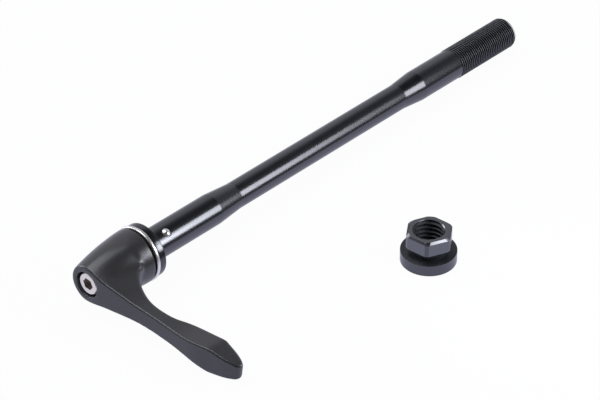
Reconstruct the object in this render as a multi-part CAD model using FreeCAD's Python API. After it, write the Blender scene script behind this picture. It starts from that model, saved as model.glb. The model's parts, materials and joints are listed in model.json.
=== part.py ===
# A bicycle thru-axle lying at rest, with its loose flanged nut beside it.
# Lengths are in millimetres and angles in degrees.
# The axle's pieces are drawn along a level axle: x runs from the collar's seat towards the thread,
# the lever's arm points along -y, and z is up. They are then laid on the floor together.
import FreeCAD
import Part
import math
import os

Vector = FreeCAD.Vector
x_axis = Vector(1, 0, 0)
origin = Vector(0, 0, 0)

# Axle, from the collar's seat to the thread's end
thread_diameter = 12.0
land_diameter = 11.66
neck_diameter = 9.8
land_end = 32.0
neck_start = 43.0
neck_end = 130.0
far_land_start = 140.0
thread_start = 160.6
axle_end = 192.2
thread_chamfer = 1.3
bore_diameter = 6.0
bore_start = 20.0

# Collar and thrust washer, which turn freely on the axle's journal
journal_diameter = 12.6
journal_end = -0.4
running_clearance = 0.05
end_play = 0.05
collar_diameter = 20.05
collar_thickness = 2.9
collar_edge = 0.25
seat_inner_diameter = 13.6
washer_diameter = 20.8
washer_thickness = 1.4
washer_edge = 0.45

# O-ring between the journal and the collar
ring_wire = 1.2
ring_sunk = 0.8
ring_room = 0.1
ring_place = -1.6

# Flange, serrated stub and tapped hole under the lever
flange_diameter = 17.0
flange_thickness = 2.4
flange_clearance = 0.3
stub_length = 10.2
serration_count = 30
serration_tip_diameter = 13.0
serration_root_diameter = 11.8
serration_clearance = 0.05
stub_end_gap = 0.4

# Screw that clamps the lever on the stub
screw_diameter = 5.0
screw_length = 16.0
screw_head_diameter = 8.5
screw_head_height = 5.0
screw_head_chamfer = 0.45
screw_socket_flats = 4.0
screw_socket_depth = 2.6
screw_point_chamfer = 0.5
screw_sunk = 0.7
screw_hole_extra = 1.4
tapped_clearance = 0.02
counterbore_diameter = 9.6
screw_passage_diameter = 5.5

# Lever head: a bell of three radii, read from its outer face to its rim
lever_gap = 0.9
head_length = 22.9
face_radius = 7.0
middle_radius = 9.27
rim_radius = 10.2
skirt_depth = 17.2
skirt_step = 0.06

# Lever arm seen along the axle: half heights at distances from the axle's centre line.
# The first three change from the outer face to the skirt, where the head is fuller.
# The paddle's are at distances back from the arm's tip, so that a longer arm keeps its paddle.
root_stations = [4.5, 8.0, 12.0]
root_heights_at_face = [6.05, 5.25, 4.68]
root_heights_at_skirt = [8.83, 6.05, 4.8]
arm_stations = [16.0, 20.0, 26.0]
arm_heights = [4.1, 3.6, 3.28]
paddle_stations = [30.2, 24.2, 18.2, 13.2, 11.2, 9.2, 6.2, 1.7]
paddle_heights = [3.22, 3.35, 4.1, 4.85, 5.0, 4.75, 4.22, 3.35]
arm_length = 64.2
arm_overrun = 1.5
arm_end_height = 2.1

# Lever arm seen from above: distance along the arm, then depth behind the head's outer face.
# The paddle's distances are again back from the tip.
face_flat_end = 3.0
outer_line = [(8.0, 0.45), (16.0, 1.5), (24.0, 2.5)]
outer_paddle_line = [(32.2, 3.0), (24.2, 3.1), (16.2, 3.4), (10.2, 4.4), (4.2, 5.7), (1.2, 6.9)]
tip_middle_depth = 8.9
tip_back = (0.8, 10.35)
tip_back_line = [(3.2, 11.3), (6.2, 11.95)]
paddle_corner = (10.7, 12.6)
inner_paddle_line = [(16.7, 12.0), (21.7, 11.6), (26.2, 10.65), (30.2, 9.1), (34.7, 8.25)]
root_line = [(22.0, 8.4), (19.4, 9.1), (17.2, 9.95), (14.4, 11.5), (12.0, 13.4), (10.3, 15.4)]
ridge_chamfer = 0.35
back_chamfer = 0.7

# Detent ball in the land, pressed out by a coil spring
ball_diameter = 4.0
ball_place = 7.1
ball_turn = 25.5
ball_clearance = 0.05
mouth_diameter = 3.6
mouth_thickness = 0.17
mouth_clearance = 0.02
pocket_past_centre = 1.0
spring_wire = 0.4
spring_mean_radius = 1.3
spring_turns = 4

# Nut
nut_flats = 15.4
nut_corner_diameter = 17.0
nut_height = 12.75
nut_hole_diameter = 10.1
nut_hole_chamfer = 0.6
nut_flange_diameter = 19.9
nut_flange_wall = 4.25
nut_cone_top = 4.8
nut_neck_diameter = 14.2
nut_hex_start = 7.2
nut_edge_run = 0.7
nut_edge_drop = 0.75
nut_crown_diameter = 14.8
nut_crown_drop = 0.85
nut_place = (72.05, -65.86)
nut_turn = 5.5


def turned(outline):
    # A solid turned about the x axis from its half outline, given as (x, radius) pairs.
    points = [Vector(x, radius, 0) for x, radius in outline]
    face = Part.Face(Part.makePolygon(points + points[:1]))
    return face.revolve(origin, x_axis, 360)


def cylinder(start, end, diameter):
    return Part.makeCylinder(diameter / 2, end - start, Vector(start, 0, 0), x_axis)


def star(start, end, tip_diameter, root_diameter, count):
    # A serrated bar along x, with straight-sided teeth.
    points = []
    for index in range(2 * count):
        radius = tip_diameter / 2 if index % 2 == 0 else root_diameter / 2
        angle = math.pi * index / count
        points.append(Vector(start, radius * math.cos(angle), radius * math.sin(angle)))
    face = Part.Face(Part.makePolygon(points + points[:1]))
    return face.extrude(Vector(end - start, 0, 0))


def curve(points, parameters=None, first_direction=None):
    spline = Part.BSplineCurve()
    if parameters:
        spline.interpolate(Points=points, Parameters=parameters)
    elif first_direction:
        last_direction = points[-1] - points[-2]
        spline.interpolate(Points=points, InitialTangent=first_direction, FinalTangent=last_direction)
    else:
        spline.interpolate(Points=points)
    return spline.toShape()


def edges_near(shape, wanted):
    return [edge for edge in shape.Edges if wanted(edge)]


# Places along the axle that follow from the sizes above
washer_front = -(collar_thickness + end_play)
washer_back = washer_front - washer_thickness
washer_middle = (washer_front + washer_back) / 2
flange_front = washer_back - end_play
flange_back = flange_front - flange_thickness
stub_end = flange_back - stub_length
rim = washer_back - lever_gap
outer_face = rim - head_length
screw_top = outer_face + screw_sunk
screw_seat = screw_top + screw_head_height
screw_point = screw_seat + screw_length
skirt = outer_face + skirt_depth


def make_axle():
    land = land_diameter / 2
    neck = neck_diameter / 2
    thread = thread_diameter / 2
    journal = journal_diameter / 2
    outline = [
        (flange_back, 0),
        (flange_back, flange_diameter / 2),
        (flange_front, flange_diameter / 2),
        (flange_front, journal),
        (journal_end - (journal - land), journal),
        (journal_end, land),
        (land_end, land),
        (neck_start, neck),
        (neck_end, neck),
        (far_land_start, land),
        (thread_start, land),
        (thread_start, thread),
        (axle_end - thread_chamfer, thread),
        (axle_end, thread - thread_chamfer),
        (axle_end, 0),
    ]
    stub = star(stub_end, flange_back, serration_tip_diameter, serration_root_diameter, serration_count)
    body = turned(outline).fuse(stub)
    body = body.cut(cylinder(bore_start, axle_end, bore_diameter))
    tapped_diameter = screw_diameter + 2 * tapped_clearance
    body = body.cut(cylinder(stub_end, screw_point + screw_hole_extra, tapped_diameter))
    groove_half = ring_wire / 2 + ring_room
    groove = cylinder(ring_place - groove_half, ring_place + groove_half, journal_diameter)
    groove_floor = journal_diameter - 2 * ring_sunk
    body = body.cut(groove.cut(cylinder(ring_place - groove_half, ring_place + groove_half, groove_floor)))
    return body.cut(ball_pocket()).removeSplitter()


def make_collar():
    bore = journal_diameter / 2 + running_clearance
    outer = collar_diameter / 2
    lead_in = seat_inner_diameter / 2 - bore
    outline = [
        (0, seat_inner_diameter / 2),
        (0, outer - collar_edge),
        (-collar_edge, outer),
        (-collar_thickness + collar_edge, outer),
        (-collar_thickness, outer - collar_edge),
        (-collar_thickness, bore),
        (-lead_in, bore),
    ]
    groove_half = ring_wire / 2 + ring_room
    groove_radius = ring_outer_radius() + running_clearance
    groove = cylinder(ring_place - groove_half, ring_place + groove_half, 2 * groove_radius)
    return turned(outline).cut(groove)


def ring_outer_radius():
    return journal_diameter / 2 - ring_sunk + ring_wire


def make_o_ring():
    centre_radius = ring_outer_radius() - ring_wire / 2
    return Part.makeTorus(centre_radius, ring_wire / 2, Vector(ring_place, 0, 0), x_axis)


def make_washer():
    ring = cylinder(washer_back, washer_front, washer_diameter)
    ring = ring.cut(cylinder(washer_back, washer_front, journal_diameter + 2 * running_clearance))
    rims = edges_near(ring, lambda edge: edge.BoundBox.YLength > washer_diameter - 0.1)
    return ring.makeFillet(washer_edge, rims)


def bell_radius(depth):
    # The parabola through the radii at the face, half way and the rim.
    part = depth / head_length
    bend = 2 * (face_radius + rim_radius - 2 * middle_radius)
    rise = rim_radius - face_radius - bend
    return face_radius + rise * part + bend * part * part


def half_outline(depth):
    # Upper half of the lever's outline at one depth, from the back of the head to past the arm's tip.
    radius = bell_radius(depth)
    share = depth / skirt_depth
    points = []
    for angle in (0, 30, 60, 90):
        points.append((-radius * math.cos(math.radians(angle)), radius * math.sin(math.radians(angle))))
    for station, at_face, at_skirt in zip(root_stations, root_heights_at_face, root_heights_at_skirt):
        points.append((station, at_face + share * (at_skirt - at_face)))
    points.extend(zip(arm_stations, arm_heights))
    points.extend(zip([arm_length - back for back in paddle_stations], paddle_heights))
    points.append((arm_length + arm_overrun, arm_end_height))
    return points


def lever_slice(depth, parameters):
    upper = half_outline(depth)
    loop = list(reversed(upper)) + [(along, -height) for along, height in upper[1:]]
    points = [Vector(outer_face + depth, -along, height) for along, height in loop]
    side = curve(points, parameters)
    end = Part.makeLine(points[-1], points[0])
    return Part.Wire([side, end])


def lever_parameters():
    # One spacing for every slice, so that the arm's walls stay parallel to the axle.
    upper = half_outline(skirt_depth / 2)
    loop = list(reversed(upper)) + [(along, -height) for along, height in upper[1:]]
    values = [0.0]
    for first, second in zip(loop, loop[1:]):
        values.append(values[-1] + math.dist(first, second))
    return values


def seen_from_above(along, depth):
    return Vector(outer_face + depth, -along, 0)


def from_tip(line):
    # Points given back from the arm's tip, as distances along the arm.
    return [(arm_length - back, depth) for back, depth in line]


def lever_plan():
    # The lever's outline seen from above, as a slab that trims the arm's thickness.
    beyond = -2 * rim_radius
    face_points = [(face_flat_end, 0)] + outer_line + from_tip(outer_paddle_line)
    outer = curve([seen_from_above(*point) for point in face_points], first_direction=Vector(0, -1, 0))
    tip_points = [face_points[-1], (arm_length, tip_middle_depth)] + from_tip([tip_back])
    tip = Part.Arc(*[seen_from_above(*point) for point in tip_points]).toShape()
    back_points = from_tip([tip_back] + tip_back_line + [paddle_corner])
    back = curve([seen_from_above(*point) for point in back_points])
    root_end = (bell_radius(skirt_depth) + 0.1, skirt_depth)
    inner_points = from_tip([paddle_corner] + inner_paddle_line) + root_line + [root_end]
    inner = curve([seen_from_above(*point) for point in inner_points])
    corners = [root_end, (beyond, root_end[1]), (beyond, 0), face_points[0]]
    rest = Part.makePolygon([seen_from_above(*corner) for corner in corners])
    wire = Part.Wire([outer, tip, back, inner] + rest.Edges)
    slab = Part.Face(wire).extrude(Vector(0, 0, 4 * rim_radius))
    slab.translate(Vector(0, 0, -2 * rim_radius))
    flat = Part.makeLine(seen_from_above(beyond, 0), seen_from_above(*face_points[0]))
    return slab, [flat, outer, tip], [back, inner]


def edges_over(shape, lines):
    # Edges of a shape that lie straight above or below some lines in the plane z = 0.
    plan = Part.makeCompound(lines)
    found = []
    for edge in shape.Edges:
        middle = edge.valueAt((edge.FirstParameter + edge.LastParameter) / 2)
        samples = [edge.firstVertex().Point, middle, edge.lastVertex().Point]
        flattened = [Part.Vertex(point.x, point.y, 0) for point in samples]
        upright = abs(samples[0].z - samples[2].z) > 0.9 * edge.Length
        if not upright and all(vertex.distToShape(plan)[0] < 0.002 for vertex in flattened):
            found.append(edge)
    return found


def make_lever():
    parameters = lever_parameters()
    depths = [skirt_depth * step / 4 for step in range(5)]
    body = Part.makeLoft([lever_slice(depth, parameters) for depth in depths], True, False)
    slab, front_lines, back_lines = lever_plan()
    body = body.common(slab)
    steps = [skirt_depth + (head_length - skirt_depth) * step / 4 for step in range(5)]
    skirt_outline = [(outer_face + depth, bell_radius(depth) + skirt_step) for depth in steps]
    body = body.fuse(turned([(skirt, 0)] + skirt_outline + [(rim, 0)]))
    body = body.makeChamfer(back_chamfer, edges_over(body, back_lines))
    body = body.makeChamfer(ridge_chamfer, edges_over(body, front_lines))
    body = body.cut(cylinder(flange_back, rim, flange_diameter + 2 * flange_clearance))
    tooth_room = 2 * serration_clearance
    teeth = star(
        stub_end - stub_end_gap,
        flange_back,
        serration_tip_diameter + tooth_room,
        serration_root_diameter + tooth_room,
        serration_count,
    )
    body = body.cut(teeth)
    body = body.cut(cylinder(outer_face, stub_end, screw_passage_diameter))
    return body.cut(cylinder(outer_face, screw_seat, counterbore_diameter))


def make_screw():
    head = screw_head_diameter / 2
    shank = screw_diameter / 2
    outline = [
        (screw_top, 0),
        (screw_top, head - screw_head_chamfer),
        (screw_top + screw_head_chamfer, head),
        (screw_seat, head),
        (screw_seat, shank),
        (screw_point - screw_point_chamfer, shank),
        (screw_point, shank - screw_point_chamfer),
        (screw_point, 0),
    ]
    socket_radius = screw_socket_flats / math.sqrt(3)
    corners = []
    for index in range(6):
        angle = math.radians(60 * index)
        corners.append(Vector(screw_top, socket_radius * math.cos(angle), socket_radius * math.sin(angle)))
    socket = Part.Face(Part.makePolygon(corners + corners[:1])).extrude(Vector(screw_socket_depth, 0, 0))
    return turned(outline).cut(socket)


def radially(shape):
    # Carries a shape drawn along z at the axle's centre to the ball's place and direction.
    shape.rotate(origin, x_axis, ball_turn)
    shape.translate(Vector(ball_place, 0, 0))
    return shape


def mouth_inner():
    # Height of the mouth's inner edge above the axle's centre line, at the thinnest part of the lip.
    return math.sqrt((land_diameter / 2) ** 2 - (mouth_diameter / 2) ** 2) - mouth_thickness


def ball_height():
    ball = ball_diameter / 2 + mouth_clearance
    return mouth_inner() - math.sqrt(ball ** 2 - (mouth_diameter / 2) ** 2)


def ball_pocket():
    room_radius = ball_diameter / 2 + ball_clearance
    room_depth = mouth_inner() + pocket_past_centre
    room = Part.makeCylinder(room_radius, room_depth, Vector(0, 0, -pocket_past_centre))
    mouth = Part.makeCylinder(mouth_diameter / 2, land_diameter, Vector(0, 0, 0))
    return radially(room.fuse(mouth))


def make_ball():
    return radially(Part.makeSphere(ball_diameter / 2, Vector(0, 0, ball_height())))


def make_spring():
    wire = spring_wire / 2
    reach = ball_diameter / 2 + wire + mouth_clearance
    bottom = wire + mouth_clearance - pocket_past_centre
    top = ball_height() - math.sqrt(reach ** 2 - spring_mean_radius ** 2)
    path = Part.makeHelix((top - bottom) / spring_turns, top - bottom, spring_mean_radius)
    section = Part.Wire(Part.makeCircle(wire, Vector(spring_mean_radius, 0, 0), Vector(0, 1, 0)))
    coil = Part.Wire(path.Edges).makePipeShell([section], True, True)
    coil.translate(Vector(0, 0, bottom))
    return radially(coil)


def hexagon(height, flats):
    corners = []
    for index in range(6):
        angle = math.radians(60 * index)
        radius = flats / math.sqrt(3)
        corners.append(Vector(height, radius * math.cos(angle), radius * math.sin(angle)))
    return Part.makePolygon(corners + corners[:1])


def make_nut():
    flange = nut_flange_diameter / 2
    hole = nut_hole_diameter / 2
    outline = [
        (0, 0),
        (0, flange),
        (nut_flange_wall, flange),
        (nut_cone_top, nut_neck_diameter / 2),
        (nut_hex_start, nut_neck_diameter / 2),
        (nut_hex_start, 0),
    ]
    edge_start = nut_height - nut_edge_drop
    head = Part.Face(hexagon(nut_hex_start, nut_flats)).extrude(Vector(edge_start - nut_hex_start, 0, 0))
    top_flats = nut_flats - 2 * nut_edge_run
    edge = Part.makeLoft([hexagon(edge_start, nut_flats), hexagon(nut_height, top_flats)], True, True)
    head = head.fuse(edge)
    crown_outline = [
        (nut_hex_start, 0),
        (nut_hex_start, nut_corner_diameter / 2),
        (nut_height - nut_crown_drop, nut_corner_diameter / 2),
        (nut_height, nut_crown_diameter / 2),
        (nut_height, 0),
    ]
    head = head.common(turned(crown_outline))
    body = turned(outline).fuse(head)
    body = body.cut(cylinder(0, nut_height, nut_hole_diameter))
    mouth = hole + nut_hole_chamfer
    body = body.cut(turned([(0, 0), (0, mouth), (nut_hole_chamfer, hole), (nut_hole_chamfer, 0)]))
    top = nut_height - nut_hole_chamfer
    body = body.cut(turned([(top, 0), (top, hole), (nut_height, mouth), (nut_height, 0)]))
    return body.removeSplitter()


def laid_down(lever):
    # The axle rests on the washer's rim, the thread's end and the lever's arm.
    thread_contact = axle_end - thread_chamfer
    drop = washer_diameter / 2 - thread_diameter / 2
    slope = drop / (thread_contact - washer_middle)
    points = lever.tessellate(0.05)[0]

    def room_under(roll):
        rolled = math.radians(roll)
        heights = []
        for point in points:
            floor_height = slope * (point.x - washer_middle) - washer_diameter / 2
            heights.append(point.y * math.sin(rolled) + point.z * math.cos(rolled) - floor_height)
        return min(heights)

    low_roll = 0.0
    high_roll = 20.0
    for _ in range(40):
        roll = (low_roll + high_roll) / 2
        if room_under(roll) > 0:
            low_roll = roll
        else:
            high_roll = roll
    tilt = math.degrees(math.atan(slope))
    turn_about_axle = FreeCAD.Rotation(x_axis, roll)
    thread_end_down = FreeCAD.Rotation(Vector(0, 1, 0), tilt)
    placement = FreeCAD.Placement(origin, thread_end_down.multiply(turn_about_axle))
    washer_height = placement.multVec(Vector(washer_middle, 0, 0)).z
    floor = washer_height - washer_diameter / 2 * math.cos(math.radians(tilt))
    print("tilt", tilt, "roll", roll, "floor", floor)
    return placement, floor


os.makedirs("parts", exist_ok=True)
lever = make_lever()
placement, floor = laid_down(lever)
axle_pieces = {
    "axle": make_axle(),
    "collar": make_collar(),
    "collar_o_ring": make_o_ring(),
    "thrust_washer": make_washer(),
    "lever": lever,
    "lever_screw": make_screw(),
    "detent_ball": make_ball(),
    "detent_spring": make_spring(),
}
for name, shape in axle_pieces.items():
    laid = shape.transformed(placement.toMatrix(), True)
    laid.exportStep("parts/" + name + ".step")
    print(name, laid.isValid(), len(laid.Solids), round(laid.Volume, 2))

nut = make_nut()
upright = FreeCAD.Rotation(Vector(0, 1, 0), -90)
towards = FreeCAD.Rotation(Vector(0, 0, 1), nut_turn)
nut_placement = FreeCAD.Placement(Vector(nut_place[0], nut_place[1], floor), towards.multiply(upright))
standing_nut = nut.transformed(nut_placement.toMatrix(), True)
standing_nut.exportStep("parts/nut.step")
print("nut", standing_nut.isValid(), len(standing_nut.Solids), round(standing_nut.Volume, 2))
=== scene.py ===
import json
import math
import bmesh
import bpy
from mathutils import Matrix, Vector

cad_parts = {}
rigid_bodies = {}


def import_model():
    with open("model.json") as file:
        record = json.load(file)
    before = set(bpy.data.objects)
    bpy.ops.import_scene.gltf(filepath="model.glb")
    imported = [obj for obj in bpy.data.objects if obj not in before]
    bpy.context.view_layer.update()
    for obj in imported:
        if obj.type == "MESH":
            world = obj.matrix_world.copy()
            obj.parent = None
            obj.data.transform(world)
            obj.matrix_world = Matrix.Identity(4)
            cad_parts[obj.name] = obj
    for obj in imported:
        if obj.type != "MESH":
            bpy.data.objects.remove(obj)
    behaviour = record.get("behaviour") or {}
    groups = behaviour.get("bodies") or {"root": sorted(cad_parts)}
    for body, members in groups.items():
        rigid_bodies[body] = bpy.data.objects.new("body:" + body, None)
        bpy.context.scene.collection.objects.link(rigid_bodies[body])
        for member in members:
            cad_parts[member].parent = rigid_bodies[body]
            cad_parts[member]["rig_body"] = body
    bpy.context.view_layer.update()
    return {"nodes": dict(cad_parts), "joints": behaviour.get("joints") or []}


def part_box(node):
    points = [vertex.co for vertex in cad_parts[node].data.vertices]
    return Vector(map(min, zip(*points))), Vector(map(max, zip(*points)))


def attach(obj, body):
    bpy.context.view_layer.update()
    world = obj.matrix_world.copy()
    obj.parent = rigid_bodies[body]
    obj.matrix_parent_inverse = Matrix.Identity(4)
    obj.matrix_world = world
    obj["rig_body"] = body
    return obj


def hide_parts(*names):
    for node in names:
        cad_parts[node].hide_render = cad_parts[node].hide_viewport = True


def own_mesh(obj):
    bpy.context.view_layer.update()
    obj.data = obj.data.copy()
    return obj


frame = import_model()
print("frame loaded:", sorted(frame["nodes"]))

# piece sizes below are in millimetres, along the axle from the collar's seat
joints = {joint["name"]: joint for joint in frame["joints"]}
jointAxis = {name: Vector(joint["axis"]).normalized() for name, joint in joints.items()}
ballTravel = joints["ball_press"]["range_m"][1] * 1000
alongAxle = jointAxis["axle_turn"]
acrossAxle = Vector((0, 1, 0))
laidAxle = Matrix((alongAxle, acrossAxle, alongAxle.cross(acrossAxle))).transposed().to_4x4()
toMillimetres = Matrix.Scale(1000, 4)
toMetres = Matrix.Scale(0.001, 4)
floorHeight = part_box("nut")[0].z


class Wire:
    # an output socket that takes part in sums: each sum adds a Math node

    def __init__(self, sheet, socket):
        self.sheet = sheet
        self.socket = socket

    def maths(self, operation, first, second=0.0):
        return self.sheet.add("ShaderNodeMath", {"operation": operation}, {0: first, 1: second})

    def __add__(self, other):
        return self.maths("ADD", self, other)

    def __radd__(self, other):
        return self.maths("ADD", other, self)

    def __sub__(self, other):
        return self.maths("SUBTRACT", self, other)

    def __rsub__(self, other):
        return self.maths("SUBTRACT", other, self)

    def __mul__(self, other):
        return self.maths("MULTIPLY", self, other)

    def __rmul__(self, other):
        return self.maths("MULTIPLY", other, self)

    def __truediv__(self, other):
        return self.maths("DIVIDE", self, other)

    def out(self, name):
        return Wire(self.sheet, self.socket.node.outputs[name])


class Sheet:
    # one node tree and the only way this script adds nodes to it

    def __init__(self, tree):
        self.tree = tree

    def add(self, kind, settings=None, inputs=None):
        node = self.tree.nodes.new(kind)
        for name, value in (settings or {}).items():
            if name == "stops":
                self.setStops(node.color_ramp, value)
            else:
                setattr(node, name, value)
        for key, value in (inputs or {}).items():
            if isinstance(value, Wire):
                self.tree.links.new(value.socket, node.inputs[key])
            else:
                node.inputs[key].default_value = value
        return Wire(self, node.outputs[0]) if node.outputs else None

    def setStops(self, ramp, stops):
        while len(ramp.elements) < len(stops):
            ramp.elements.new(1.0)
        for element, (position, colour) in zip(ramp.elements, stops):
            element.position = position
            element.color = colour


def newMaterial(name):
    material = bpy.data.materials.new(name)
    material.use_nodes = True
    material.node_tree.nodes.clear()
    return material, Sheet(material.node_tree)


def closeMaterial(sheet, inputs):
    shader = sheet.add("ShaderNodeBsdfPrincipled", None, inputs)
    sheet.add("ShaderNodeOutputMaterial", None, {"Surface": shader})


def objectPlace(sheet):
    return sheet.add("ShaderNodeTexCoord").out("Object")


def grain(sheet, place, size, detail=2.0):
    # noise whose grains are about this many millimetres across
    return sheet.add("ShaderNodeTexNoise", None, {
        "Vector": place,
        "Scale": 1000 / size,
        "Detail": detail,
    })


def mixed(sheet, share, first, second):
    return sheet.add("ShaderNodeMix", {"data_type": "RGBA"}, {0: share, 6: first, 7: second}).out(2)


def bumped(sheet, height, strength, depth):
    # depth in millimetres
    return sheet.add("ShaderNodeBump", None, {
        "Strength": strength,
        "Distance": depth / 1000,
        "Height": height,
    })


# finishes

anodised = {
    "deep": (0.003, 0.003, 0.004, 1),
    "pale": (0.006, 0.006, 0.008, 1),
    "gleam": (0.86, 0.89, 1.0, 1),
    "index": 1.95,
    "nutIndex": 2.3,
    "roughness": 0.215,
    "toolMark": 0.16,
    "threadDulling": 0.22,
    "threadFrom": 160.6,
    "threadTo": 190.8,
    "crestRadius": 5.98,
    # painted shade in the thread's grooves: a matt near-black colour below the crest radius
    "grooveShadeDepth": 0.10,
    "grooveShade": (0.004, 0.004, 0.004, 1),
}


def axlePlace(sheet, place):
    # distance along the axle and distance from its centre line, in millimetres
    spot = sheet.add("ShaderNodeSeparateXYZ", None, {0: place})
    along = spot.out("X") * alongAxle.x + spot.out("Z") * alongAxle.z
    upright = spot.out("Z") * alongAxle.x - spot.out("X") * alongAxle.z
    square = spot.out("Y") * spot.out("Y") + upright * upright
    return along * 1000, square.maths("SQRT", square) * 1000


def clamped(share):
    return share.maths("MAXIMUM", share.maths("MINIMUM", share, 1.0), 0.0)


def threadShares(sheet, place):
    # 1 on the axle's thread, then 1 in the thread's grooves, which take a painted shade, and 0 elsewhere
    along, radius = axlePlace(sheet, place)
    begun = along.maths("GREATER_THAN", along, anodised["threadFrom"])
    threaded = begun * along.maths("LESS_THAN", along, anodised["threadTo"])
    return threaded, threaded * clamped((anodised["crestRadius"] - radius) / anodised["grooveShadeDepth"])


def anodisedFinish(name, index):
    # black anodised aluminium with faint turning marks round the axle; the thread's grooves are painted in
    # shade with a near-black matt shader
    material, sheet = newMaterial(name)
    place = objectPlace(sheet)
    cloud = grain(sheet, place, 6.0)
    fine = grain(sheet, place, 0.35)
    stretched = sheet.add("ShaderNodeMapping", None, {"Vector": place, "Scale": (1.0, 0.02, 0.02)})
    marks = grain(sheet, stretched, anodised["toolMark"])
    colour = mixed(sheet, cloud, anodised["deep"], anodised["pale"])
    threaded, groove = threadShares(sheet, place)
    plainRough = anodised["roughness"] + 0.05 * (cloud - 0.5) + 0.04 * (fine - 0.5)
    rough = plainRough + anodised["threadDulling"] * threaded
    bright = sheet.add("ShaderNodeBsdfPrincipled", None, {
        "Base Color": colour,
        "Roughness": rough,
        "Normal": bumped(sheet, marks * 0.7 + fine * 0.3, 0.10, 0.02),
        "IOR": index,
        "Specular Tint": anodised["gleam"],
    })
    # painted shade: a near-black matt shader stands in for the shade deep in the thread's grooves
    grooveShade = sheet.add("ShaderNodeBsdfDiffuse", None, {"Color": anodised["grooveShade"]})
    both = sheet.add("ShaderNodeMixShader", None, {0: groove, 1: bright, 2: grooveShade})
    sheet.add("ShaderNodeOutputMaterial", None, {"Surface": both})
    return material


tappedThread = {
    "colour": (0.006, 0.006, 0.008, 1),
    "roughness": 0.42,
}


def tappedFinish():
    # the nut's thread is duller than its outside
    material, sheet = newMaterial("tappedBlack")
    fine = grain(sheet, objectPlace(sheet), 0.3)
    closeMaterial(sheet, {
        "Base Color": tappedThread["colour"],
        "Roughness": tappedThread["roughness"] + 0.1 * (fine - 0.5),
        "Specular Tint": anodised["gleam"],
    })
    return material


leverPaint = {
    "deep": (0.029, 0.029, 0.032, 1),
    "pale": (0.040, 0.040, 0.045, 1),
    "gleam": (0.90, 0.91, 1.0, 1),
    "index": 1.64,
    "roughness": 0.30,
    "grainSize": 0.22,
}


def leverFinish():
    # fine-grained matt black over the forging
    material, sheet = newMaterial("leverMattBlack")
    place = objectPlace(sheet)
    cloud = grain(sheet, place, 9.0)
    fine = grain(sheet, place, leverPaint["grainSize"], 3.0)
    colour = mixed(sheet, cloud * 0.6 + fine * 0.4, leverPaint["deep"], leverPaint["pale"])
    rough = leverPaint["roughness"] + 0.08 * (cloud - 0.5) + 0.10 * (fine - 0.5)
    closeMaterial(sheet, {
        "Base Color": colour,
        "Roughness": rough,
        "Normal": bumped(sheet, fine, 0.22, 0.03),
        "IOR": leverPaint["index"],
        "Specular Tint": leverPaint["gleam"],
    })
    return material


collarGloss = {
    "deep": (0.006, 0.006, 0.007, 1),
    "pale": (0.012, 0.012, 0.014, 1),
    "index": 1.75,
    "roughness": 0.18,
}


def collarFinish():
    material, sheet = newMaterial("collarGlossBlack")
    place = objectPlace(sheet)
    cloud = grain(sheet, place, 4.0)
    fine = grain(sheet, place, 0.3)
    colour = mixed(sheet, cloud, collarGloss["deep"], collarGloss["pale"])
    rough = collarGloss["roughness"] + 0.05 * (cloud - 0.5)
    closeMaterial(sheet, {
        "Base Color": colour,
        "Roughness": rough,
        "Normal": bumped(sheet, fine, 0.06, 0.02),
        "IOR": collarGloss["index"],
        "Specular Tint": anodised["gleam"],
    })
    return material


# painted shade: the screw's hex socket is coloured darker where the recess lies in shade
screwSocketShade = {
    "from": -27.3,
    "radius": 2.4,
    "colour": (0.55, 0.51, 0.48, 1),
}


def socketShadeShare(sheet, place, socket):
    # 1 inside the screw's socket, where the recess is painted darker as shade, and 0 elsewhere
    along, radius = axlePlace(sheet, place)
    deepEnough = along.maths("GREATER_THAN", along, socket["from"])
    return deepEnough * radius.maths("LESS_THAN", radius, socket["radius"])


steels = {
    "washerSteel": {
        "deep": (0.72, 0.71, 0.71, 1),
        "pale": (0.86, 0.85, 0.85, 1),
        "roughness": 0.34,
        "markSize": 0.2,
    },
    "screwSteel": {
        "deep": (0.76, 0.72, 0.67, 1),
        "pale": (0.90, 0.86, 0.80, 1),
        "roughness": 0.30,
        "markSize": 0.25,
    },
    "ballSteel": {
        "deep": (0.84, 0.84, 0.85, 1),
        "pale": (0.90, 0.90, 0.91, 1),
        "roughness": 0.30,
        "markSize": 0.3,
    },
    "springSteel": {
        "deep": (0.38, 0.38, 0.40, 1),
        "pale": (0.52, 0.52, 0.54, 1),
        "roughness": 0.3,
        "markSize": 0.15,
    },
}


def steelFinish(name, socket=None):
    # bare steel: fine marks, a little cloudiness and uneven gloss
    steel = steels[name]
    material, sheet = newMaterial(name)
    place = objectPlace(sheet)
    cloud = grain(sheet, place, 3.0)
    marks = grain(sheet, place, steel["markSize"], 4.0)
    colour = mixed(sheet, cloud * 0.7 + marks * 0.3, steel["deep"], steel["pale"])
    if socket:
        # painted shade inside the screw's socket
        colour = mixed(sheet, socketShadeShare(sheet, place, socket), colour, socket["colour"])
    rough = steel["roughness"] + 0.08 * (cloud - 0.5) + 0.06 * (marks - 0.5)
    closeMaterial(sheet, {
        "Base Color": colour,
        "Roughness": rough,
        "Metallic": 1.0,
        "Normal": bumped(sheet, marks, 0.05, 0.02),
    })
    return material


rubber = {
    "deep": (0.012, 0.012, 0.012, 1),
    "pale": (0.025, 0.025, 0.025, 1),
    "roughness": 0.6,
    "grainSize": 0.2,
}


def rubberFinish():
    material, sheet = newMaterial("ringRubber")
    fine = grain(sheet, objectPlace(sheet), rubber["grainSize"])
    closeMaterial(sheet, {
        "Base Color": mixed(sheet, fine, rubber["deep"], rubber["pale"]),
        "Roughness": rubber["roughness"] + 0.1 * fine,
        "Normal": bumped(sheet, fine, 0.1, 0.02),
    })
    return material


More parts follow.
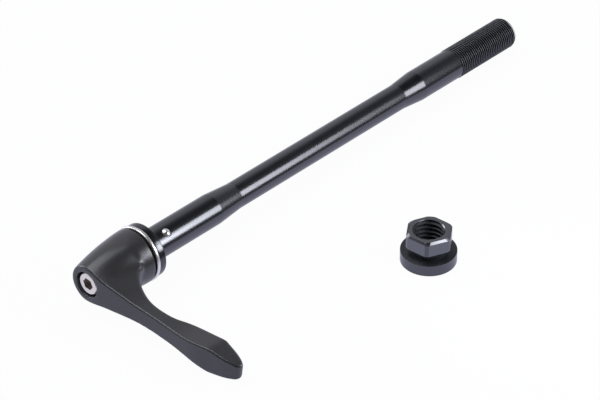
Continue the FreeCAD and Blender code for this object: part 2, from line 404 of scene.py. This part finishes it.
anodisedBlack = anodisedFinish("anodisedBlack", anodised["index"])
nutBlack = anodisedFinish("nutBlack", anodised["nutIndex"])
tappedBlack = tappedFinish()
leverBlack = leverFinish()
collarBlack = collarFinish()
washerSteel = steelFinish("washerSteel")
screwSteel = steelFinish("screwSteel", screwSocketShade)
ballSteel = steelFinish("ballSteel")
springSteel = steelFinish("springSteel")
ringRubber = rubberFinish()
print("finishes ready")


# mesh tools, all in millimetres

mergeDistance = 0.0005


def newPiece(name, mesh):
    piece = bpy.data.objects.new(name, mesh)
    bpy.context.scene.collection.objects.link(piece)
    return piece


def baked(piece):
    # the evaluated mesh as a plain one, with no modifier left
    graph = bpy.context.evaluated_depsgraph_get()
    mesh = bpy.data.meshes.new_from_object(piece.evaluated_get(graph), depsgraph=graph)
    piece.modifiers.clear()
    piece.data = mesh
    return piece


def cleaned(piece, closeEnds=False):
    shape = bmesh.new()
    shape.from_mesh(piece.data)
    bmesh.ops.remove_doubles(shape, verts=shape.verts, dist=mergeDistance)
    if closeEnds:
        openEdges = [edge for edge in shape.edges if edge.is_boundary]
        bmesh.ops.holes_fill(shape, edges=openEdges)
    bmesh.ops.recalc_face_normals(shape, faces=shape.faces)
    shape.to_mesh(piece.data)
    shape.free()
    return piece


def turnedPiece(name, outline, segments, closed):
    # turns (along, radius) points about X; an open outline starts and ends on the axis
    shape = bmesh.new()
    rings = []
    for step in range(segments):
        angle = 2 * math.pi * step / segments
        rings.append([shape.verts.new((x, r * math.cos(angle), r * math.sin(angle))) for x, r in outline])
    last = len(outline) if closed else len(outline) - 1
    for step in range(segments):
        near = rings[step]
        far = rings[(step + 1) % segments]
        for index in range(last):
            after = (index + 1) % len(outline)
            shape.faces.new((near[index], near[after], far[after], far[index]))
    mesh = bpy.data.meshes.new(name)
    shape.to_mesh(mesh)
    shape.free()
    return cleaned(newPiece(name, mesh))


def rounded(outline, radius, closed=False, steps=5):
    # an outline whose corners are arcs of this radius, or less where there is no room
    result = []
    count = len(outline)
    for index, point in enumerate(outline):
        if not closed and index in (0, count - 1):
            result.append(point)
            continue
        corner = Vector(point)
        before = Vector(outline[index - 1]) - corner
        after = Vector(outline[(index + 1) % count]) - corner
        half = before.angle(after) / 2
        reach = min(radius / math.tan(half), 0.45 * before.length, 0.45 * after.length)
        start = corner + before.normalized() * reach
        end = corner + after.normalized() * reach
        for step in range(steps + 1):
            share = step / steps
            place = start.lerp(corner, share).lerp(corner.lerp(end, share), share)
            result.append((place.x, place.y))
    return result


def copiedNode(name, node):
    mesh = frame["nodes"][node].data.copy()
    mesh.materials.clear()
    mesh.transform(toMillimetres)
    if mesh.has_custom_normals:
        piece = newPiece(name, mesh)
        with bpy.context.temp_override(object=piece, active_object=piece, mesh=mesh):
            bpy.ops.mesh.customdata_custom_splitnormals_clear()
        return cleaned(piece)
    return cleaned(newPiece(name, mesh))


def cutBy(piece, tool, operation="DIFFERENCE"):
    boolean = piece.modifiers.new("cut", "BOOLEAN")
    boolean.operation = operation
    boolean.solver = "EXACT"
    boolean.material_mode = "TRANSFER"
    boolean.object = tool
    baked(piece)
    bpy.data.objects.remove(tool)
    return piece


def cutOff(piece, place, direction):
    # drops what lies past a plane and closes the cut
    shape = bmesh.new()
    shape.from_mesh(piece.data)
    everything = shape.verts[:] + shape.edges[:] + shape.faces[:]
    bmesh.ops.bisect_plane(shape, geom=everything, plane_co=place, plane_no=direction, clear_outer=True)
    openEdges = [edge for edge in shape.edges if edge.is_boundary]
    bmesh.ops.holes_fill(shape, edges=openEdges)
    shape.to_mesh(piece.data)
    shape.free()
    return piece


def joined(name, pieces):
    shape = bmesh.new()
    for piece in pieces:
        shape.from_mesh(piece.data)
        bpy.data.objects.remove(piece)
    mesh = bpy.data.meshes.new(name)
    shape.to_mesh(mesh)
    shape.free()
    return newPiece(name, mesh)


def shaded(piece, sharpAngle):
    piece.data.set_sharp_from_angle(angle=math.radians(sharpAngle))
    return piece


def dressed(piece, material, node):
    # back to metres, with its finish where it has none yet, standing for its CAD node
    piece.data.transform(toMetres)
    if not piece.data.materials:
        piece.data.materials.append(material)
    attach(piece, frame["nodes"][node]["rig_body"])
    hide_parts(node)
    print(piece.name, "made,", len(piece.data.polygons), "faces")
    return piece


# threads: a tube whose rows follow the helix, so that crest and root are true edges

rowsPerTurn = 8
rootShare = 0.4375  # the groove's flat bottom begins this share of a pitch from the crest's middle


def threadTree():
    tree = bpy.data.node_groups.new("helicalThread", "GeometryNodeTree")
    for name in ("Crest Radius", "Crest Half", "Depth", "Pitch", "Start", "Turns"):
        tree.interface.new_socket(name, in_out="INPUT", socket_type="NodeSocketFloat")
    for name in ("Columns", "Rows"):
        tree.interface.new_socket(name, in_out="INPUT", socket_type="NodeSocketInt")
    tree.interface.new_socket("Finish", in_out="INPUT", socket_type="NodeSocketMaterial")
    tree.interface.new_socket("Geometry", in_out="OUTPUT", socket_type="NodeSocketGeometry")
    sheet = Sheet(tree)
    given = sheet.add("NodeGroupInput")
    grid = sheet.add("GeometryNodeMeshGrid", None, {
        "Size X": 1.0,
        "Size Y": 1.0,
        "Vertices X": given.out("Columns"),
        "Vertices Y": given.out("Rows"),
    })
    spot = sheet.add("ShaderNodeSeparateXYZ", None, {0: sheet.add("GeometryNodeInputPosition")})
    turnShare = spot.out("X") + 0.5
    row = (spot.out("Y") + 0.5) * given.out("Turns")
    along = given.out("Start") + (row + turnShare) * given.out("Pitch")
    phase = row.maths("FRACT", row + rootShare)
    fromCrest = phase.maths("ABSOLUTE", phase - 0.5)
    groove = clamped((fromCrest - given.out("Crest Half")) / (rootShare - given.out("Crest Half")))
    radius = given.out("Crest Radius") - given.out("Depth") * groove
    angle = turnShare * (2 * math.pi)
    where = sheet.add("ShaderNodeCombineXYZ", None, {
        "X": along,
        "Y": radius * angle.maths("COSINE", angle),
        "Z": radius * angle.maths("SINE", angle),
    })
    moved = sheet.add("GeometryNodeSetPosition", None, {"Geometry": grid, "Position": where})
    whole = sheet.add("GeometryNodeMergeByDistance", None, {"Geometry": moved, "Distance": 0.001})
    plain = sheet.add("GeometryNodeRealizeInstances", None, {"Geometry": whole})
    finished = sheet.add("GeometryNodeSetMaterial", None, {
        "Geometry": plain,
        "Material": given.out("Finish"),
    })
    sheet.add("NodeGroupOutput", None, {"Geometry": finished})
    return tree


threadMaker = threadTree()


def threadRod(name, size, material):
    # a threaded rod along X that runs past both ends of its length
    turns = math.ceil(size["length"] / size["pitch"]) + 3
    piece = newPiece(name, bpy.data.meshes.new(name))
    maker = piece.modifiers.new("thread", "NODES")
    maker.node_group = threadMaker
    values = {
        "Crest Radius": size["crestRadius"],
        "Crest Half": size["crestHalf"],
        "Depth": size["depth"],
        "Pitch": size["pitch"],
        "Start": size["start"] - 2 * size["pitch"],
        "Turns": float(turns),
        "Columns": size["columns"] + 1,
        "Rows": turns * rowsPerTurn + 1,
        "Finish": material,
    }
    for socket in threadMaker.interface.items_tree:
        if socket.in_out == "INPUT":
            maker[socket.identifier] = values[socket.name]
    return cleaned(baked(piece), closeEnds=True)


# axle: turned bar with a fine thread, a sprung ball's pocket and the hidden end under the lever

axle = {
    "landRadius": 5.83,
    "neckRadius": 4.9,
    "landEnd": 32.0,
    "neckStart": 43.0,
    "neckEnd": 130.0,
    "farLandStart": 140.0,
    "threadStart": 160.6,
    "threadEnd": 192.2,
    "endLead": 1.4,
    "endDrop": 0.7,
    "journalRadius": 6.3,
    "journalCut": -0.88,
    "coneStart": -0.87,
    "coneEnd": -0.4,
    "boreRadius": 3.0,
    "boreStart": 20.0,
    "taperRadius": 8.0,
    "segments": 160,
    "pocketMouth": 1.8,
    "pocketRoom": 2.05,
    "pocketLip": 5.375,
    "pocketFloor": -1.0,
    "pocketSegments": 64,
    "sharpAngle": 32,
    "threadSharpAngle": 75,
}

axleThread = {
    "crestRadius": 6.0,
    "crestHalf": 0.1875,
    "depth": 0.5,
    "pitch": 1.0,
    "start": axle["threadStart"],
    "length": axle["threadEnd"] - axle["threadStart"],
    "columns": 96,
}


def makeAxle():
    bar = [
        (axle["journalCut"], 0),
        (axle["journalCut"], axle["journalRadius"]),
        (axle["coneStart"], axle["journalRadius"]),
        (axle["coneEnd"], axle["landRadius"]),
    ]
    tapers = [
        (axle["coneEnd"], axle["landRadius"]),
        (axle["landEnd"], axle["landRadius"]),
        (axle["neckStart"], axle["neckRadius"]),
        (axle["neckEnd"], axle["neckRadius"]),
        (axle["farLandStart"], axle["landRadius"]),
        (axle["threadStart"], axle["landRadius"]),
    ]
    bore = [
        (axle["threadStart"], axle["boreRadius"]),
        (axle["boreStart"], axle["boreRadius"]),
        (axle["boreStart"], 0),
    ]
    outline = bar + rounded(tapers, axle["taperRadius"])[1:] + bore
    front = turnedPiece("axleFront", outline, axle["segments"], closed=False)
    front.data.transform(laidAxle)
    inward = jointAxis["ball_press"]
    low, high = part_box("detent_ball")
    ballCentre = (low + high) / 2 * 1000
    pocketFoot = alongAxle * ballCentre.dot(alongAxle)
    upright = Matrix.Translation(pocketFoot) @ (-inward).to_track_quat("X", "Z").to_matrix().to_4x4()
    pocket = turnedPiece("axlePocket", [
        (axle["pocketFloor"], 0),
        (axle["pocketFloor"], axle["pocketRoom"]),
        (axle["pocketLip"], axle["pocketRoom"]),
        (axle["pocketLip"], axle["pocketMouth"]),
        (axle["landRadius"] + 1, axle["pocketMouth"]),
        (axle["landRadius"] + 1, 0),
    ], axle["pocketSegments"], closed=False)
    pocket.data.transform(upright)
    cutBy(front, pocket)
    envelope = turnedPiece("axleEnd", [
        (axle["threadStart"], axle["boreRadius"]),
        (axle["threadStart"], axleThread["crestRadius"] + 0.001),
        (axle["threadEnd"] - axle["endLead"], axleThread["crestRadius"] + 0.001),
        (axle["threadEnd"], axleThread["crestRadius"] - axle["endDrop"]),
        (axle["threadEnd"], axle["boreRadius"]),
    ], axle["segments"], closed=True)
    thread = cutBy(threadRod("axleThread", axleThread, anodisedBlack), envelope, "INTERSECT")
    thread.data.transform(laidAxle)
    rear = cutOff(copiedNode("axleRear", "axle"), alongAxle * axle["journalCut"], alongAxle)
    for part in (front, rear):
        shaded(part, axle["sharpAngle"])
    shaded(thread, axle["threadSharpAngle"])
    parts = [front, thread, rear]
    return dressed(joined("axleTurned", parts), anodisedBlack, "axle")


# collar and washer

collar = {
    "thickness": 2.9,
    "outerRadius": 10.025,
    "boreRadius": 6.35,
    "seatInner": 6.8,
    "edge": 0.3,
    "grooveRadius": 6.75,
    "grooveFrom": -2.3,
    "grooveTo": -0.9,
    "segments": 160,
    "sharpAngle": 40,
}


def makeCollar():
    leadIn = collar["seatInner"] - collar["boreRadius"]
    outside = [
        (0, collar["seatInner"]),
        (0, collar["outerRadius"]),
        (-collar["thickness"], collar["outerRadius"]),
        (-collar["thickness"], collar["boreRadius"]),
    ]
    inside = [
        (collar["grooveFrom"], collar["boreRadius"]),
        (collar["grooveFrom"], collar["grooveRadius"]),
        (collar["grooveTo"], collar["grooveRadius"]),
        (collar["grooveTo"], collar["boreRadius"]),
        (-leadIn, collar["boreRadius"]),
    ]
    outline = rounded(outside, collar["edge"]) + inside
    piece = turnedPiece("collarRing", outline, collar["segments"], closed=True)
    piece.data.transform(laidAxle)
    return dressed(shaded(piece, collar["sharpAngle"]), collarBlack, "collar")


washer = {
    "front": -2.95,
    "thickness": 1.4,
    "outerRadius": 10.4,
    "boreRadius": 6.35,
    "edge": 0.5,
    "segments": 160,
    "sharpAngle": 40,
}


def makeWasher():
    back = washer["front"] - washer["thickness"]
    outline = [
        (washer["front"], washer["boreRadius"]),
        (washer["front"], washer["outerRadius"]),
        (back, washer["outerRadius"]),
        (back, washer["boreRadius"]),
    ]
    piece = turnedPiece("washerRing", rounded(outline, washer["edge"]), washer["segments"], closed=True)
    piece.data.transform(laidAxle)
    return dressed(shaded(piece, washer["sharpAngle"]), washerSteel, "thrust_washer")


# lever: the forging's edges are rounded all over

lever = {
    "voxel": 0.24,
    "softening": 6,
    "faceAt": -28.15,
    "roll": 6.163,
    "armFrom": (7.0, 15.0),
    "armSoftening": 6,
    "rootAlong": (1.0, 10.0, 22.0),
    "rootDepth": (6.0, 15.5, 21.8),
    "skirtDepth": (11.5, 17.2, 21.8),
    "skirtUntil": (10.0, 15.0),
    "outsideRadius": 8.95,
    "rootSoftening": 80,
    "sharpAngle": 60,
}


def eased(share):
    share = min(max(share, 0.0), 1.0)
    return share * share * (3 - 2 * share)


def between(value, low, middle, high):
    # 1 at the middle, falling smoothly to 0 at both ends
    share = (value - low) / (middle - low) if value < middle else (high - value) / (high - middle)
    return eased(share)


def armPlace(point):
    # distance along the arm, depth behind the head's outer face, distance from the axle's centre line
    place = laidAxle.inverted() @ point
    roll = math.radians(lever["roll"])
    along = -place.y * math.cos(roll) - place.z * math.sin(roll)
    return along, place.x - lever["faceAt"], math.hypot(place.y, place.z)


def armWeight(point):
    along, depth, radius = armPlace(point)
    low, high = lever["armFrom"]
    return eased((along - low) / (high - low))


def rootWeight(point):
    along, depth, radius = armPlace(point)
    if radius < lever["outsideRadius"]:
        return 0.0
    root = between(along, *lever["rootAlong"]) * between(depth, *lever["rootDepth"])
    near, far = lever["skirtUntil"]
    return max(root, between(depth, *lever["skirtDepth"]) * eased((far - along) / (far - near)))


def softened(piece, name, iterations, weightAt):
    group = piece.vertex_groups.new(name=name)
    for vertex in piece.data.vertices:
        weight = weightAt(vertex.co)
        if weight > 0:
            group.add([vertex.index], weight, "REPLACE")
    smooth = piece.modifiers.new(name, "SMOOTH")
    smooth.factor = 0.5
    smooth.iterations = iterations
    smooth.vertex_group = name
    return baked(piece)


def makeLever():
    piece = copiedNode("leverForged", "lever")
    remesh = piece.modifiers.new("even", "REMESH")
    remesh.mode = "VOXEL"
    remesh.voxel_size = lever["voxel"]
    smooth = piece.modifiers.new("soft", "SMOOTH")
    smooth.factor = 0.5
    smooth.iterations = lever["softening"]
    baked(piece)
    # the arm's edges are rounder than the head's, and its root runs into the skirt in a soft hollow
    softened(piece, "arm", lever["armSoftening"], armWeight)
    softened(piece, "root", lever["rootSoftening"], rootWeight)
    piece.vertex_groups.clear()
    return dressed(shaded(piece, lever["sharpAngle"]), leverBlack, "lever")


# nut: hexagon on a flange, with a coarse thread inside

nut = {
    "wallTop": 4.2,
    "hexagonFrom": 7.15,
    "hexagonTo": 11.9,
    "cornerRadius": 8.2,
    "edge": 0.14,
    "edgeSteps": 2,
    "edgeAngle": 25,
    "sharpAngle": 18,
}

nutThread = {
    "crestRadius": 6.0,
    "crestHalf": 0.0625,
    "depth": 0.95,
    "pitch": 1.75,
    "start": 0.0,
    "length": 12.75,
    "columns": 96,
}


def makeNut():
    low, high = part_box("nut")
    middle = (low + high) / 2 * 1000
    piece = copiedNode("nutFlanged", "nut")
    piece.data.materials.append(nutBlack)
    shape = bmesh.new()
    shape.from_mesh(piece.data)
    everything = shape.verts[:]
    bmesh.ops.dissolve_limit(shape, angle_limit=math.radians(1), verts=everything, edges=shape.edges[:])
    shape.to_mesh(piece.data)
    shape.free()
    bevel = piece.modifiers.new("edges", "BEVEL")
    bevel.width = nut["edge"]
    bevel.segments = nut["edgeSteps"]
    bevel.limit_method = "ANGLE"
    bevel.angle_limit = math.radians(nut["edgeAngle"])
    baked(piece)
    tap = threadRod("nutTap", nutThread, tappedBlack)
    foot = Matrix.Translation((middle.x, middle.y, low.z * 1000))
    tap.data.transform(foot @ Matrix.Rotation(math.radians(-90), 4, "Y"))
    cutBy(piece, tap)
    # what was turned is less shiny than the hexagon's flats: the wall and the cut-off corners
    # are like the axle, and the neck is as dull as the thread
    piece.data.materials.append(anodisedBlack)
    for face in piece.data.polygons:
        height = face.center.z - low.z * 1000
        fromMiddle = math.hypot(face.center.x - middle.x, face.center.y - middle.y)
        if nut["wallTop"] < height < nut["hexagonFrom"]:
            face.material_index = 1
        elif height < nut["hexagonTo"] and fromMiddle > nut["cornerRadius"]:
            face.material_index = 2
    shaded(piece, nut["sharpAngle"])
    flatter = piece.modifiers.new("flatter", "WEIGHTED_NORMAL")
    flatter.keep_sharp = True
    baked(piece)
    return dressed(piece, nutBlack, "nut")


# spring: the CAD coil with its finish; the share of its length it would keep with the ball pressed in is
# worked out but not used

spring = {
    "wire": 0.4,
    "sharpAngle": 40,
}


def makeSpring():
    piece = copiedNode("detentCoil", "detent_spring")
    inward = jointAxis["ball_press"]
    depths = [vertex.co.dot(inward) for vertex in piece.data.vertices]
    workingLength = max(depths) - min(depths) - spring["wire"]
    dressed(shaded(piece, spring["sharpAngle"]), springSteel, "detent_spring")
    1 - ballTravel / workingLength
    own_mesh(piece)


makeAxle()
makeCollar()
makeWasher()
makeLever()
makeNut()
makeSpring()

# the other CAD nodes have the right shape and only take their finish
for node, material in (
    ("lever_screw", screwSteel),
    ("detent_ball", ballSteel),
    ("collar_o_ring", ringRubber),
):
    frame["nodes"][node].data.materials.clear()
    frame["nodes"][node].data.materials.append(material)
print("CAD nodes finished")


# floor, light and camera

floor = {
    "size": 8.0,
    "below": 0.00003,
    "colour": (0.74, 0.75, 0.83, 1),
    "mirrored": (0.83, 0.83, 1.0, 1),
    "whiteShare": 0.965,
    "mirroredShare": 0.75,
    "shadeFrom": (0.032, 0.052),
    "shadeInFront": -0.02,
    "shade": (0.12, 0.12, 0.13, 1),
}


def makeFloor():
    half = floor["size"] / 2
    corners = [(-half, -half), (half, -half), (half, half), (-half, half)]
    mesh = bpy.data.meshes.new("studioFloor")
    mesh.from_pydata([(x, y, floorHeight - floor["below"]) for x, y in corners], [], [(0, 1, 2, 3)])
    piece = newPiece("studioFloor", mesh)
    material, sheet = newMaterial("paperWhite")
    path = sheet.add("ShaderNodeLightPath")
    mirrored = path.out("Is Glossy Ray") + path.out("Is Transmission Ray")
    paper = sheet.add("ShaderNodeBsdfDiffuse", None, {"Color": floor["colour"]})
    white = sheet.add("ShaderNodeEmission", None, {"Strength": 1.0})
    cool = sheet.add("ShaderNodeEmission", None, {"Color": floor["mirrored"], "Strength": 1.0})
    seen = sheet.add("ShaderNodeMixShader", None, {
        0: path.out("Is Camera Ray") * floor["whiteShare"],
        1: paper,
        2: white,
    })
    both = sheet.add("ShaderNodeMixShader", None, {0: mirrored * floor["mirroredShare"], 1: seen, 2: cool})
    # shiny pieces see the paper as a cool white close by; farther off in front the paper they mirror is a
    # painted shade, picked by the mirrored ray's length
    spot = sheet.add("ShaderNodeSeparateXYZ", None, {0: objectPlace(sheet)})
    low, high = floor["shadeFrom"]
    far = clamped((path.out("Ray Length") - low) / (high - low))
    inFront = far.maths("LESS_THAN", spot.out("Y"), floor["shadeInFront"])
    shade = sheet.add("ShaderNodeEmission", None, {"Color": floor["shade"], "Strength": 1.0})
    whole = sheet.add("ShaderNodeMixShader", None, {0: mirrored * far * inFront, 1: both, 2: shade})
    sheet.add("ShaderNodeOutputMaterial", None, {"Surface": whole})
    mesh.materials.append(material)


studio = {
    "backWall": (0.60, 0.60, 0.62, 1),
    "ceiling": (0.022, 0.022, 0.027, 1),
    "wallTop": (0.62, 0.80),
    "frontShare": 0.20,
    "wallTurn": 25.0,
    "wallEdge": (0.35, 0.75),
}


def makeWorld():
    world = bpy.data.worlds.new("studioRoom")
    bpy.context.scene.world = world
    world.use_nodes = True
    world.node_tree.nodes.clear()
    sheet = Sheet(world.node_tree)
    spot = sheet.add("ShaderNodeSeparateXYZ", None, {0: sheet.add("ShaderNodeTexCoord").out("Generated")})
    turn = math.radians(studio["wallTurn"])
    behind = (spot.out("X") * math.sin(turn) + spot.out("Y") * math.cos(turn)) * 0.5 + 0.5
    front = [channel * studio["frontShare"] for channel in studio["backWall"][:3]] + [1]
    wall = sheet.add("ShaderNodeValToRGB", {"stops": [
        (studio["wallEdge"][0], front),
        (studio["wallEdge"][1], studio["backWall"]),
    ]}, {0: behind})
    low, high = studio["wallTop"]
    upward = clamped((spot.out("Z") - low) / (high - low))
    room = mixed(sheet, upward, wall, studio["ceiling"])
    light = sheet.add("ShaderNodeBackground", None, {"Color": room, "Strength": 1.0})
    sheet.add("ShaderNodeOutputWorld", None, {"Surface": light})


# one softbox in front of the thread end gives the axle its streak, a small one near the nut lights
# edges, a large one hangs over everything and one stands behind

streakSoftbox = {
    "middle": 0.385,
    "length": 0.17,
    "width": 0.34,
    "away": 0.5,
    "towards": (0.0, -0.884, 0.468),
    "radiance": 7.5,
}

frontSoftbox = {
    "place": (0.088, -0.140, 0.066),
    "target": (0.04, -0.03, 0),
    "size": 0.05,
    "radiance": 7.0,
}

topSoftbox = {
    "place": (-0.05, 0.25, 0.9),
    "target": (0.03, -0.02, 0),
    "size": 0.7,
    "radiance": 3.2,
}

backSoftbox = {
    "place": (-0.15, 0.62, 0.22),
    "target": (0.03, -0.02, 0),
    "size": 0.3,
    "radiance": 5.0,
}


def makeLamp(name, place, target, sideways, length, width, radiance):
    # a rectangle whose length lies along one given direction
    data = bpy.data.lights.new(name, "AREA")
    data.shape = "RECTANGLE"
    data.size = length
    data.size_y = width
    data.energy = radiance * math.pi * length * width
    lamp = bpy.data.objects.new(name, data)
    lamp.visible_camera = False
    bpy.context.scene.collection.objects.link(lamp)
    back = (Vector(place) - Vector(target)).normalized()
    level = (sideways - back * sideways.dot(back)).normalized()
    facing = Matrix((level, back.cross(level), back)).transposed().to_4x4()
    lamp.matrix_world = Matrix.Translation(place) @ facing


def makeLamps():
    foot = alongAxle * streakSoftbox["middle"]
    place = foot + Vector(streakSoftbox["towards"]).normalized() * streakSoftbox["away"]
    makeLamp("streakSoftbox", place, foot, alongAxle, streakSoftbox["length"], streakSoftbox["width"],
             streakSoftbox["radiance"])
    boxes = (("frontSoftbox", frontSoftbox), ("topSoftbox", topSoftbox), ("backSoftbox", backSoftbox))
    for name, box in boxes:
        makeLamp(name, box["place"], box["target"], alongAxle, box["size"], box["size"], box["radiance"])


photoView = {
    "turn": 47.07,
    "elevation": 36.88,
    "aim": (0.04534, -0.02992, 0.0114),
    "distance": 1.031,
    "lens": 180.0,
    "sensor": 36.0,
    "nearest": 0.01,
}


def makeCamera():
    turn = math.radians(photoView["turn"])
    rise = math.radians(photoView["elevation"])
    level = Vector((math.sin(turn), math.cos(turn), 0))
    forward = level * math.cos(rise) - Vector((0, 0, math.sin(rise)))
    data = bpy.data.cameras.new("photoCamera")
    data.lens = photoView["lens"]
    data.sensor_width = photoView["sensor"]
    data.clip_start = photoView["nearest"]
    camera = bpy.data.objects.new("photoCamera", data)
    bpy.context.scene.collection.objects.link(camera)
    camera.location = Vector(photoView["aim"]) - forward * photoView["distance"]
    camera.rotation_euler = forward.to_track_quat("-Z", "Y").to_euler()
    bpy.context.scene.camera = camera


makeFloor()
makeWorld()
makeLamps()
makeCamera()
bpy.context.scene.view_settings.view_transform = "Standard"

print("stage set")
